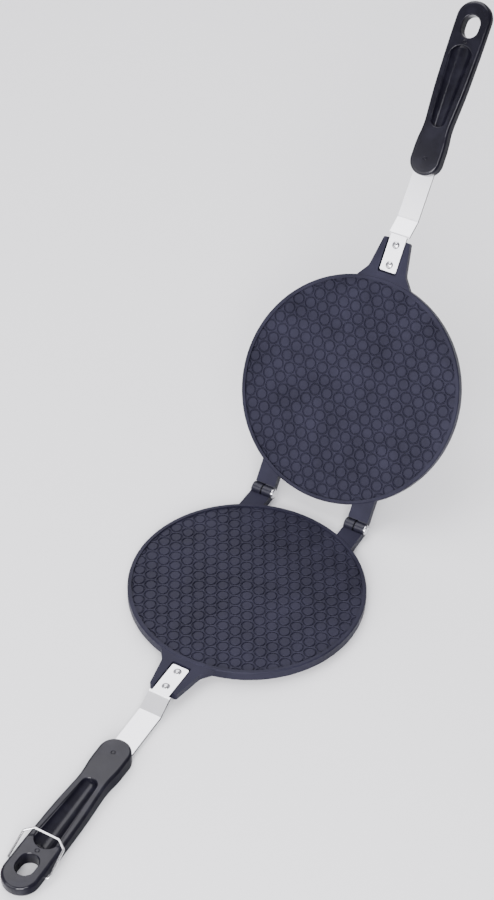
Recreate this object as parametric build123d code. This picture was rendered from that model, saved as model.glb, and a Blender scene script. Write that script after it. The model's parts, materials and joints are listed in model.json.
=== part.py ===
"""Waffle cone pan: two hinged honeycomb plates with moulded handles, shown open.

Millimetres, +Z up. The origin is the centre of the ring on which the lower plate
stands, the handles point to -Y and the hinge axis runs along X behind the plates.
Both halves are the same castings, so each piece is made once in its own half frame,
in which z is 0 on the parting plane and the cooking face looks up, and is then
placed as the lower half or turned over and swung open as the upper half.
"""

import os
from math import asin, cos, radians, sin, tan

from build123d import *

# Plates
plate_radius = 95.0
plate_height = 8.0
rim_clearance = 0.15
rim_width = 3.3
rim_edge = 0.8
skirt_width = 4.0
field_sink = 2.2
field_wall = 1.75

# Hinge pins
pin_radius = 2.5
pin_running_fit = 0.08
pin_head_overhang = 1.75
pin_head_radius = pin_radius + pin_head_overhang
pin_head_height = 2.2
pin_tail_length = 1.0

# Hinge
hinge_reach = 9.1
hinge_offset = plate_radius + hinge_reach
hinge_spacing = 86.8
lug_width = 17.8
lug_drop = 0.5
knuckle_wall = 2.3
knuckle_radius = pin_radius + knuckle_wall
knuckle_gap = 0.3
notch_clearance = 0.4
opening_angle = 125.17
stop_clearance = 0.3

# Forked lug that holds the strap, with distances from the plate centre
tongue_width = 14.4
pocket_clearance = 0.95
pocket_end_gap = 1.6
pocket_corner = 1.5
fork_wall = 3.55
fork_tip_half_width = tongue_width / 2 + pocket_clearance + fork_wall
fork_root_half_width = fork_tip_half_width + 4.8
fork_flare = fork_root_half_width + 7.5
fork_root = plate_radius + 7.0
fork_tip = plate_radius + 33.5
fork_floor = 2.6
fork_tip_fillet = 2.0
fork_root_fillet = 9.0
rivet_first = plate_radius + 12.0
rivet_pitch = 16.9
rivet_radius = 2.0
rivet_head_radius = 3.2
rivet_head_height = 1.4

# Handle outline, with distances from the plate centre
tang_width = 18.3
waist_wall = 1.95
waist_half_width = tang_width / 2 + waist_wall
bulb_half_width = waist_half_width + 1.7
palm_half_width = waist_half_width + 2.4
tail_half_width = waist_half_width + 3.45
handle_front = plate_radius + 88.5
handle_length = 145.1
handle_end = handle_front + handle_length
bulb_at = handle_front + 26.5
waist_at = handle_front + 39.5
palm_at = handle_front + 72.5
tail_at = handle_end - 30.6
nose_bend = 12.4
bulb_bend = 20.0
waist_bend = 40.0
palm_bend = 160.0

# Strap
strap_thickness = 2.0
strap_sink = 1.7
tongue_start = plate_radius + 6.5
bend_out = fork_tip + 4.5
bend_in = bend_out + 13.5
bend_drop = 7.9
bend_radius = 3.0
tang_slope = 2.0
tang_end = handle_end - 33.6
shoulder_fillet = 1.5
shoulder_setback = 1.0
tang_hole_radius = 4.0
tang_hole_at = handle_front + 28.5

# Handle depth, edges and openings
face_start_depth = 2.34
face_slope = 2.28
back_cover = 7.4
back_depth = strap_sink + strap_thickness + bend_drop + back_cover
face_edge = 1.0
back_edge = 3.6
back_edge_width = 2.5
trough_front = handle_front + 40.5
trough_back = handle_end - 37.1
trough_front_radius = 6.25
trough_front_rise = 1.75
trough_back_radius = 10.2
trough_back_rise = 3.7
hang_hole_width = 14.5
hang_hole_length = 18.7
hang_hole_at = handle_end - 21.1
mark_radius = 1.6
mark_depth = 0.9
mark_front = handle_front + 13.8
mark_back = handle_end - 35.6

# Locking bail
wire_radius = 0.9
bail_fit = 0.1
bail_side_gap = 1.85
bail_pivot_at = handle_end - 21.3
bail_pivot_depth = back_depth - 5.8
bail_pivot_half_width = tail_half_width + bail_side_gap + wire_radius
bail_corner_half_width = bail_pivot_half_width - 0.6
bail_bar_half_width = bail_corner_half_width - 6.4
bail_corner_reach = 22.4
bail_reach = 27.1
bail_lift = 25.1
bail_grip = 4.2
bail_end_gap = 0.4


def cylinder_x(radius, x_from, x_to, y, z):
    """Solid cylinder along X between two x values, on the axis through (y, z)."""
    disc = Plane(origin=(x_from, y, z), x_dir=(0, 1, 0), z_dir=(1, 0, 0)) * Circle(radius)
    return extrude(disc, x_to - x_from)


def slab(sketch, low, high):
    """Sketch in the XY plane raised into a solid from z = low to z = high."""
    return extrude(Pos(0, 0, low) * sketch, high - low, dir=(0, 0, 1))


# Levels in the half frame, counted from the parting plane
rim_level = -rim_clearance
lug_level = rim_level - lug_drop
field_level = rim_level - field_sink
bottom_level = -plate_height
strap_level = -strap_sink
tongue_floor = strap_level - strap_thickness
fork_bottom = tongue_floor - fork_floor


# Casting
def hinge_lugs():
    """Two ears whose ends meet the other casting's ears when the pan is wide open."""
    stop = radians(90 - opening_angle / 2 - stop_clearance)
    corner = hinge_offset + plate_height * tan(stop)
    top_corner = hinge_offset + lug_level * -tan(stop)
    outer = (hinge_spacing + lug_width) / 2
    root = plate_radius * cos(asin(outer / plate_radius)) - skirt_width
    profile = Plane.YZ * Polygon(
        (root, bottom_level), (corner, bottom_level), (top_corner, lug_level),
        (root, lug_level), align=None,
    )
    ears = []
    for side in (-1, 1):
        centre = side * hinge_spacing / 2
        ear = Pos(centre, 0, 0) * extrude(profile, lug_width / 2, both=True)
        own_end = centre - knuckle_gap / 2
        knuckle = cylinder_x(knuckle_radius, centre - lug_width / 2, own_end, hinge_offset, 0)
        notch = cylinder_x(
            knuckle_radius + notch_clearance, own_end, centre + lug_width, hinge_offset, 0
        )
        ears.append(ear - notch + knuckle)
    return ears


def fork_lug():
    """Forked lug with flared roots; its pocket takes the tongue of the strap."""
    rim = plate_radius * cos(asin(fork_flare / plate_radius))
    half = [
        (fork_flare, -rim + skirt_width), (fork_flare, -rim),
        (fork_root_half_width, -fork_root), (fork_tip_half_width, -fork_tip),
    ]
    outline = Polygon(*half, *[(-x, y) for x, y in reversed(half)], align=None)
    tips = outline.vertices().filter_by_position(Axis.Y, -fork_tip - 1, -fork_tip + 1)
    outline = fillet(tips, fork_tip_fillet)
    roots = outline.vertices().filter_by_position(Axis.Y, -fork_root - 1, -fork_root + 1)
    outline = fillet(roots, fork_root_fillet)
    return slab(outline, fork_bottom, lug_level)


def strap_pocket():
    """Open-ended pocket, with rounded inner corners, in which the tongue lies."""
    width = tongue_width + 2 * pocket_clearance
    start = tongue_start - pocket_end_gap
    length = fork_tip + fork_tip_half_width - start
    outline = Pos(0, -start - length / 2) * Rectangle(width, length)
    inner = outline.vertices().sort_by(Axis.Y)[-2:]
    return slab(fillet(inner, pocket_corner), tongue_floor, plate_height)


def rivet_places():
    """Places of the two rivets on the centre line of the lug."""
    return [Pos(0, -rivet_first - index * rivet_pitch) for index in range(2)]


def casting(knuckle_bore):
    """One plate: disc, skirt, sunk cooking field, ears with knuckles, and forked lug."""
    plate = slab(Circle(plate_radius), bottom_level, rim_level)
    plate = chamfer(plate.edges().group_by(Axis.Z)[-1], rim_edge)
    plate += [fork_lug(), *hinge_lugs()]
    recess = slab(Circle(plate_radius - skirt_width), bottom_level, field_level - field_wall)
    plate -= recess
    plate -= strap_pocket()
    plate -= [place * slab(Circle(rivet_radius), fork_bottom, 0.0) for place in rivet_places()]
    for side in (-1, 1):
        centre = side * hinge_spacing / 2
        plate -= cylinder_x(
            knuckle_bore, centre - lug_width, centre + lug_width, hinge_offset, 0
        )
    plate -= slab(Circle(plate_radius - rim_width), field_level, rim_level)
    return plate


# Strap
def strap_line():
    """Centre line of the strap in (y, z): tongue, joggle and sloping tang."""
    level = strap_level - strap_thickness / 2
    low = level - bend_drop
    fall = (tang_end - bend_in) * tan(radians(tang_slope))
    return FilletPolyline(
        (-tongue_start, level), (-bend_out, level), (-bend_in, low), (-tang_end, low - fall),
        radius=bend_radius,
    )


def strap():
    """Bent strap: narrow riveted tongue, a joggle, and the tang inside the handle."""
    side = trace(strap_line(), line_width=strap_thickness)
    band = extrude(Plane.YZ * side, tang_width / 2, both=True)
    shoulder = bend_out - shoulder_setback
    plan = Pos(0, -(shoulder + tang_end) / 2) * Rectangle(tang_width, tang_end - shoulder)
    tongue = Pos(0, -(tongue_start + shoulder) / 2) * Rectangle(
        tongue_width, shoulder - tongue_start
    )
    plan += tongue
    ends = plan.vertices().group_by(Axis.Y)
    plan = fillet([*ends[0], *ends[-1]], shoulder_fillet)
    plan -= Pos(0, -tang_hole_at) * Circle(tang_hole_radius)
    plan -= [place * Circle(rivet_radius) for place in rivet_places()]
    return band & slab(plan, -2 * back_depth, plate_height)


def strap_rivets():
    """Two headed rivets through the tongue and the lug, set flush underneath."""
    rivet = slab(Circle(rivet_radius), fork_bottom, strap_level)
    rivet += slab(Circle(rivet_head_radius), strap_level, strap_level + rivet_head_height)
    return Compound([place * rivet for place in rivet_places()])


# Handle
def face_plane(y):
    """Work plane on the handle's inner face at distance y from the plate centre."""
    depth = face_start_depth + (y - handle_front) * tan(radians(face_slope))
    tilt = radians(face_slope)
    return Plane(origin=(0, -y, -depth), x_dir=(1, 0, 0), z_dir=(0, -sin(tilt), cos(tilt)))


def handle_outline():
    """Waisted plan outline with a round tail, drawn as one half and mirrored."""
    corners = {
        (0, -handle_front): 0,
        (bulb_half_width, -handle_front): nose_bend,
        (bulb_half_width, -bulb_at): bulb_bend,
        (waist_half_width, -waist_at): waist_bend,
        (palm_half_width, -palm_at): palm_bend,
        (tail_half_width, -tail_at): palm_bend,
        (tail_half_width, -handle_end): tail_half_width - 0.1,
        (0, -handle_end): 0,
    }
    bends = list(corners.values())[1:-1]
    half = FilletPolyline(*corners, radius=bends)
    return make_face([*half.edges(), *mirror(half, Plane.YZ).edges()])


def trough():
    """Finger scoop: a tapered round bottom within round, steep ends."""
    front_half = (trough_front_radius**2 - trough_front_rise**2) ** 0.5
    back_half = (trough_back_radius**2 - trough_back_rise**2) ** 0.5
    front = face_plane(trough_front)
    back = face_plane(trough_back)
    a = front.origin + front.z_dir * trough_front_rise
    b = back.origin + back.z_dir * trough_back_rise
    length = (b - a).length
    outline = Polygon(
        (0, 0), (0, trough_front_radius), (length, trough_back_radius), (length, 0), align=None
    )
    scoop = revolve(outline, Axis.X)
    scoop = Plane(origin=a, x_dir=b - a, z_dir=Vector(1, 0, 0)).location * scoop
    plan = make_hull(
        [
            *(Pos(0, -trough_front - front_half) * Circle(front_half)).edges(),
            *(Pos(0, -trough_back + back_half) * Circle(back_half)).edges(),
        ]
    )
    return scoop & slab(plan, -back_depth, back_depth)


def handle(with_bail):
    """Moulded handle around the tang: face, trough, hanging hole and two round marks."""
    body = slab(handle_outline(), -back_depth, 0)
    top_plane = face_plane(handle_front)
    body = split(body, bisect_by=top_plane, keep=Keep.BOTTOM)
    body = chamfer(body.edges().group_by(Axis.Z)[0], back_edge, back_edge_width)
    rim = body.faces().sort_by(Axis.Z)[-1]
    body = chamfer(rim.edges(), face_edge)
    body -= trough()
    hole = Pos(0, -hang_hole_at) * SlotOverall(hang_hole_length, hang_hole_width, rotation=90)
    body -= slab(hole, -back_depth, 0)
    for y in (mark_front, mark_back):
        body -= extrude(face_plane(y) * Circle(mark_radius), -mark_depth)
    if with_bail:
        inner = bail_pivot_half_width - bail_grip - bail_end_gap
        bore = cylinder_x(
            wire_radius + bail_fit, inner, bail_pivot_half_width,
            -bail_pivot_at, -bail_pivot_depth,
        )
        body -= [bore, mirror(bore, Plane.YZ)]
    return body - strap()


# Bail
def bail():
    """Wire loop whose turned-in ends pivot in the sides of the lower handle."""
    rise = radians(bail_lift)
    plane = Plane(
        origin=(0, -bail_pivot_at, -bail_pivot_depth), x_dir=(1, 0, 0),
        z_dir=(0, -sin(rise), cos(rise)),
    )
    half = [
        (bail_pivot_half_width - bail_grip, 0), (bail_pivot_half_width, 0),
        (bail_corner_half_width, bail_corner_reach), (bail_bar_half_width, bail_reach),
    ]
    points = half + [(-x, y) for x, y in reversed(half)]
    path = plane.location * Polyline(*points)
    start = Plane(origin=path @ 0, z_dir=path % 0)
    return sweep(start * Circle(wire_radius), path=path, transition=Transition.RIGHT)


# Hinge pins
def hinge_pin(side):
    """Pin through both knuckles of one hinge, headed at its +X end."""
    centre = side * hinge_spacing / 2
    near, far = centre - lug_width / 2, centre + lug_width / 2
    seat = far + pin_running_fit
    shank = cylinder_x(pin_radius, near - pin_tail_length, seat, hinge_offset, 0)
    head = cylinder_x(pin_head_radius, seat, seat + pin_head_height, hinge_offset, 0)
    return shank + head


# Placing the two halves
lower = Pos(0, 0, plate_height)
upper = (
    Pos(0, hinge_offset, plate_height)
    * Rot(-opening_angle, 0, 0)
    * Pos(0, -hinge_offset, 0)
    * Rot(0, 180, 0)
)

nodes = {
    "lower_plate": lower * casting(pin_radius),
    "upper_plate": upper * casting(pin_radius + pin_running_fit),
    "hinge_pin_left": lower * hinge_pin(-1),
    "hinge_pin_right": lower * hinge_pin(1),
    "lower_strap": lower * strap(),
    "upper_strap": upper * strap(),
    "lower_strap_rivets": lower * strap_rivets(),
    "upper_strap_rivets": upper * strap_rivets(),
    "lower_handle": lower * handle(with_bail=True),
    "upper_handle": upper * handle(with_bail=False),
    "locking_bail": lower * bail(),
}

os.makedirs("parts", exist_ok=True)
for name, shape in nodes.items():
    export_step(shape, f"parts/{name}.step")
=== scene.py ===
"""Waffle cone pan, open on a pale floor: its finishes, rounded pieces, light and camera.

Sizes and places are in millimetres, which MM turns into metres, unless their comment says that
they are in metres. A distance along a handle or strap is measured from the centre of its plate.
"""

from __future__ import annotations

import json
import logging
from contextlib import contextmanager
from dataclasses import dataclass
from enum import Enum
from math import atan2, cos, hypot, pi, radians, sin, sqrt, tan
from typing import Any, Callable, Iterator

import bmesh
import bpy
from mathutils import Matrix, Vector

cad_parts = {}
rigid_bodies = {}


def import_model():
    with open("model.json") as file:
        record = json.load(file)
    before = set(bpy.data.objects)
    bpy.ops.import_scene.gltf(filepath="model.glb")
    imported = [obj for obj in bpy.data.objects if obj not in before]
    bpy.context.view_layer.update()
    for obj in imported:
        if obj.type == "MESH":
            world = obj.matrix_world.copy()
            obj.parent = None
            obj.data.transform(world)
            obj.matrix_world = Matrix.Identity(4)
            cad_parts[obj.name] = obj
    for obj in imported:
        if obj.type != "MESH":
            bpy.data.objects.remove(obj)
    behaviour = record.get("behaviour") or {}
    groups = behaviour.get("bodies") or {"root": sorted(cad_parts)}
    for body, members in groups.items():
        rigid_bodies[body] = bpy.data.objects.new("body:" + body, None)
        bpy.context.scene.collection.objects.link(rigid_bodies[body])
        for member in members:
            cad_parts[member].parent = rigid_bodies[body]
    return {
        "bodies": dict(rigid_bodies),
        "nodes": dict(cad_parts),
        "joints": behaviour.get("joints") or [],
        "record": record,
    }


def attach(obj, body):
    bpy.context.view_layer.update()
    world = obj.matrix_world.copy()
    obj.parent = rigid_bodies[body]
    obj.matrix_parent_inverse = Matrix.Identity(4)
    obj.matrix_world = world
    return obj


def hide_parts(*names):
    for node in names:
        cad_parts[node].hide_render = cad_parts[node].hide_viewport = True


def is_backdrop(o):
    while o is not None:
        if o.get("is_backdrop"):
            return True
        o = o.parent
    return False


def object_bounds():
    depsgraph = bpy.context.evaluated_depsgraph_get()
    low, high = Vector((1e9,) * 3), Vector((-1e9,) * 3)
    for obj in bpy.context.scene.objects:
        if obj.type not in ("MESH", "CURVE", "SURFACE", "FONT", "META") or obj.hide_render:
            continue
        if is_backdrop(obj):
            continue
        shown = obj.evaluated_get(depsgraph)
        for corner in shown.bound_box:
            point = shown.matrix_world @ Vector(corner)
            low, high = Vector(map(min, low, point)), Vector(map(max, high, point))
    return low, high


log = logging.getLogger("waffle_pan")

Pair = tuple[float, float]
Triple = tuple[float, float, float]

# Distance from the plate's centre and radius of the two circles round which a slot runs
Ends = tuple[Pair, Pair]

MM = 0.001

# What is nearer to a level than this, in metres, lies on it
NEAR = 1e-5

# Edges sharper than this stay sharp in the shading
CREASE = radians(40)

# How strongly large faces hold their own direction in smooth shading
FLAT_WEIGHT = 60

# Sides of a round cutter
ROUND = 64

# Distance along the lower handle, and depth below the parting plane, of the bail's pivot
BAIL_PIVOT = (307.3, 13.2)


@dataclass(frozen=True)
class Hinge:
    """Axis of the two hinges, along X, and the angle at which the pan stands open."""

    axis_y: float = 104.1
    axis_z: float = 8.0
    spacing: float = 86.8
    opening: float = 125.17


HINGE = Hinge()


# Mesh tools
def deselect() -> None:
    """Leave edit mode and deselect every object."""
    if bpy.context.object and bpy.context.object.mode != "OBJECT":
        bpy.ops.object.mode_set(mode="OBJECT")
    bpy.ops.object.select_all(action="DESELECT")


def activate(obj: bpy.types.Object) -> None:
    """Select one object alone and make it active.

    Args:
        obj: object to select.
    """
    deselect()
    obj.select_set(True)
    bpy.context.view_layer.objects.active = obj


@contextmanager
def editing(obj: bpy.types.Object) -> Iterator[None]:
    """Hold one object in edit mode, with all of its mesh deselected at the start.

    Args:
        obj: object to edit.

    Returns:
        A context that goes back to object mode at its end.
    """
    activate(obj)
    bpy.ops.object.mode_set(mode="EDIT")
    bpy.ops.mesh.select_all(action="DESELECT")
    try:
        yield
    finally:
        bpy.ops.object.mode_set(mode="OBJECT")


def pick(obj: bpy.types.Object, kind: str, test: Callable[[Any], bool]) -> None:
    """Select, in edit mode, what passes a test and nothing else.

    Args:
        obj: object in edit mode.
        kind: VERT, EDGE or FACE.
        test: takes a bmesh element and says whether to select it.
    """
    bpy.ops.mesh.select_mode(type=kind)
    bpy.ops.mesh.select_all(action="DESELECT")
    mesh = bmesh.from_edit_mesh(obj.data)
    items = {"VERT": mesh.verts, "EDGE": mesh.edges, "FACE": mesh.faces}[kind]
    items.ensure_lookup_table()
    for item in items:
        if test(item):
            item.select_set(True)
    mesh.select_flush_mode()
    bmesh.update_edit_mesh(obj.data)


def at_height(height: float) -> Callable[[bmesh.types.BMEdge], bool]:
    """A test for edges that lie at one height.

    Args:
        height: the height, in metres.

    Returns:
        The test.
    """
    return lambda edge: all(abs(vert.co.z - height) < NEAR for vert in edge.verts)


def looks_up(face: bmesh.types.BMFace) -> bool:
    """Whether a face looks upwards, within about 25 degrees."""
    return face.normal.z > 0.9


def extrude(shift: Vector | Triple) -> None:
    """Extrude what is selected in edit mode, by a shift in metres."""
    bpy.ops.mesh.extrude_region_move(TRANSFORM_OT_translate={"value": tuple(shift)})


def point_outwards() -> None:
    """Turn every face of the mesh in edit mode outwards."""
    bpy.ops.mesh.select_all(action="SELECT")
    bpy.ops.mesh.normals_make_consistent(inside=False)


def hull(obj: bpy.types.Object) -> None:
    """Wrap a piece in its convex hull.

    Args:
        obj: piece to wrap.
    """
    with editing(obj):
        bpy.ops.mesh.select_all(action="SELECT")
        bpy.ops.mesh.convex_hull()


def apply_modifier(obj: bpy.types.Object, kind: str, **settings: Any) -> None:
    """Add a modifier and apply it.

    Args:
        obj: piece to change.
        kind: kind of modifier.
        settings: the modifier's settings.
    """
    activate(obj)
    modifier = obj.modifiers.new(kind.title(), kind)
    for name, value in settings.items():
        setattr(modifier, name, value)
    bpy.ops.object.modifier_apply(modifier=modifier.name)


def bake_place(obj: bpy.types.Object) -> None:
    """Write the object's place into its mesh, so that it sits at the origin."""
    activate(obj)
    bpy.ops.object.transform_apply(location=True, rotation=True, scale=True)


def place(obj: bpy.types.Object, matrix: Matrix) -> None:
    """Move a piece by a matrix and write that into its mesh.

    Args:
        obj: piece to move.
        matrix: the move, in metres.
    """
    obj.matrix_world = matrix @ obj.matrix_world
    bpy.context.view_layer.update()
    bake_place(obj)


def twin(obj: bpy.types.Object, name: str, shift: Pair = (0.0, 0.0)) -> bpy.types.Object:
    """Copy a piece with a mesh of its own.

    Args:
        obj: piece to copy.
        name: name of the copy.
        shift: how far the copy stands from the piece in X and Y, not yet in its mesh.

    Returns:
        The copy.
    """
    copy = obj.copy()
    copy.data = obj.data.copy()
    copy.name = name
    copy.location = (shift[0] * MM, shift[1] * MM, 0)
    bpy.context.collection.objects.link(copy)
    return copy


def join(parts: list[bpy.types.Object], name: str) -> bpy.types.Object:
    """Join several pieces into the first one.

    Args:
        parts: pieces to join.
        name: name of the result.

    Returns:
        The joined piece, at the origin.
    """
    deselect()
    for part in parts:
        part.select_set(True)
    bpy.context.view_layer.objects.active = parts[0]
    bpy.ops.object.join()
    parts[0].name = name
    parts[0].data.name = name
    bake_place(parts[0])
    return parts[0]


def carve(obj: bpy.types.Object, cutter: bpy.types.Object, operation: str = "DIFFERENCE") -> None:
    """Apply a boolean with a cutter and remove the cutter."""
    apply_modifier(obj, "BOOLEAN", operation=operation, object=cutter, solver="EXACT")
    bpy.data.objects.remove(cutter, do_unlink=True)


def shade(obj: bpy.types.Object, crease: float = CREASE) -> None:
    """Shade a piece smooth but for its sharp edges."""
    activate(obj)
    bpy.ops.object.shade_smooth_by_angle(angle=crease)


def smooth(obj: bpy.types.Object) -> None:
    """Shade a piece smooth but for its sharp edges, and keep its flats flat."""
    shade(obj)
    apply_modifier(obj, "WEIGHTED_NORMAL", keep_sharp=True, weight=FLAT_WEIGHT)


def cylinder(
    name: str, radius: float, low: float, high: float, at: Pair = (0.0, 0.0), sides: int = 48
) -> bpy.types.Object:
    """Add an upright cylinder between two heights.

    Args:
        name: object name.
        radius: its radius.
        low: lower end.
        high: upper end.
        at: centre in the XY plane.
        sides: number of sides.

    Returns:
        The cylinder, with its place in its mesh.
    """
    deselect()
    bpy.ops.mesh.primitive_cylinder_add(
        vertices=sides, radius=radius * MM, depth=(high - low) * MM,
        location=(at[0] * MM, at[1] * MM, (low + high) / 2 * MM),
    )
    obj = bpy.context.object
    obj.name = name
    bake_place(obj)
    return obj


# Shader nodes
def opaque(colour: Triple) -> tuple[float, float, float, float]:
    """A colour with full alpha."""
    return (*colour, 1.0)


class Graph:
    """A shader node tree that is filled from left to right."""

    column_width = 190

    # The three inputs and the output of a Mix node that mixes colours
    mix_mask, mix_first, mix_second, mix_result = 0, 6, 7, 2

    def __init__(self, tree: bpy.types.NodeTree) -> None:
        """Keep the tree to fill."""
        self.tree = tree
        self.column = 0

    def feed(self, socket: bpy.types.NodeSocket, value: Any) -> None:
        """Link an output to an input, or set the input to a plain value.

        Args:
            socket: input to feed.
            value: an output in the tree, or a number, colour or vector.
        """
        if isinstance(value, bpy.types.NodeSocket):
            self.tree.links.new(value, socket)
        else:
            socket.default_value = value

    def fill(self, node: bpy.types.Node, **values: Any) -> None:
        """Feed a node's inputs and set its properties, by name.

        Args:
            node: node in the tree.
            values: what each input or property gets; double underscores stand for spaces.
        """
        for name, value in values.items():
            label = name.replace("__", " ")
            if label in node.inputs and not hasattr(type(node), name):
                self.feed(node.inputs[label], value)
            else:
                setattr(node, name, value)

    def add(self, kind: str, **values: Any) -> bpy.types.Node:
        """Add a node.

        Args:
            kind: node type.
            values: its inputs and properties, as fill takes them.

        Returns:
            The new node.
        """
        node = self.tree.nodes.new(kind)
        node.location = (self.column * self.column_width, 0)
        self.column += 1
        self.fill(node, **values)
        return node

    def noise(self, **values: Any) -> bpy.types.NodeSocket:
        """Add a noise and give its value, from 0 to 1."""
        return self.add("ShaderNodeTexNoise", **values).outputs["Fac"]

    def math(self, operation: str, *values: Any) -> bpy.types.NodeSocket:
        """Add a sum on plain numbers or on outputs.

        Args:
            operation: what is worked out.
            values: what it is worked out from, in order.

        Returns:
            The result.
        """
        node = self.add("ShaderNodeMath", operation=operation)
        for socket, value in zip(node.inputs, values):
            self.feed(socket, value)
        return node.outputs[0]

    def stretch(
        self, value: bpy.types.NodeSocket, start: Any = 0.0, end: Any = 1.0, low: float = 0.0,
        high: float = 1.0,
    ) -> bpy.types.NodeSocket:
        """Stretch one range of values onto another, and stop at its ends.

        Args:
            value: what is stretched.
            start: value that becomes low.
            end: value that becomes high.
            low: result at the start.
            high: result at the end.

        Returns:
            The result.
        """
        node = self.add(
            "ShaderNodeMapRange", Value=value, From__Min=start, From__Max=end, To__Min=low,
            To__Max=high,
        )
        return node.outputs["Result"]

    def tint(self, mask: bpy.types.NodeSocket, first: Any, second: Any) -> bpy.types.NodeSocket:
        """Blend two colours by a mask.

        Args:
            mask: 0 for the first colour and 1 for the second.
            first: a colour or an output.
            second: a colour or an output.

        Returns:
            The blended colour.
        """
        node = self.add("ShaderNodeMix", data_type="RGBA")
        self.feed(node.inputs[self.mix_mask], mask)
        self.feed(node.inputs[self.mix_first], first)
        self.feed(node.inputs[self.mix_second], second)
        return node.outputs[self.mix_result]

    def bump(
        self, height: bpy.types.NodeSocket, strength: float, depth: float
    ) -> bpy.types.NodeSocket:
        """Turn a height into a normal.

        Args:
            height: height from 0 to 1.
            strength: share of the bump that shows.
            depth: height of the bump.

        Returns:
            The normal.
        """
        node = self.add("ShaderNodeBump", Height=height, Strength=strength, Distance=depth * MM)
        return node.outputs["Normal"]


def new_group(name: str, inputs: dict[str, tuple[str, Any]], outputs: dict[str, str]) -> Graph:
    """Start a shader node group.

    Args:
        name: group name.
        inputs: socket name to its kind and default value.
        outputs: socket name to its kind.

    Returns:
        The graph, with its Group Input and Group Output nodes added first.
    """
    tree = bpy.data.node_groups.new(name, "ShaderNodeTree")
    for label, (kind, value) in inputs.items():
        socket = tree.interface.new_socket(label, in_out="INPUT", socket_type=kind)
        if value is not None:
            socket.default_value = value
    for label, kind in outputs.items():
        tree.interface.new_socket(label, in_out="OUTPUT", socket_type=kind)
    graph = Graph(tree)
    graph.add("NodeGroupInput")
    graph.add("NodeGroupOutput")
    return graph


FLOAT, VECTOR = "NodeSocketFloat", "NodeSocketVector"


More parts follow.
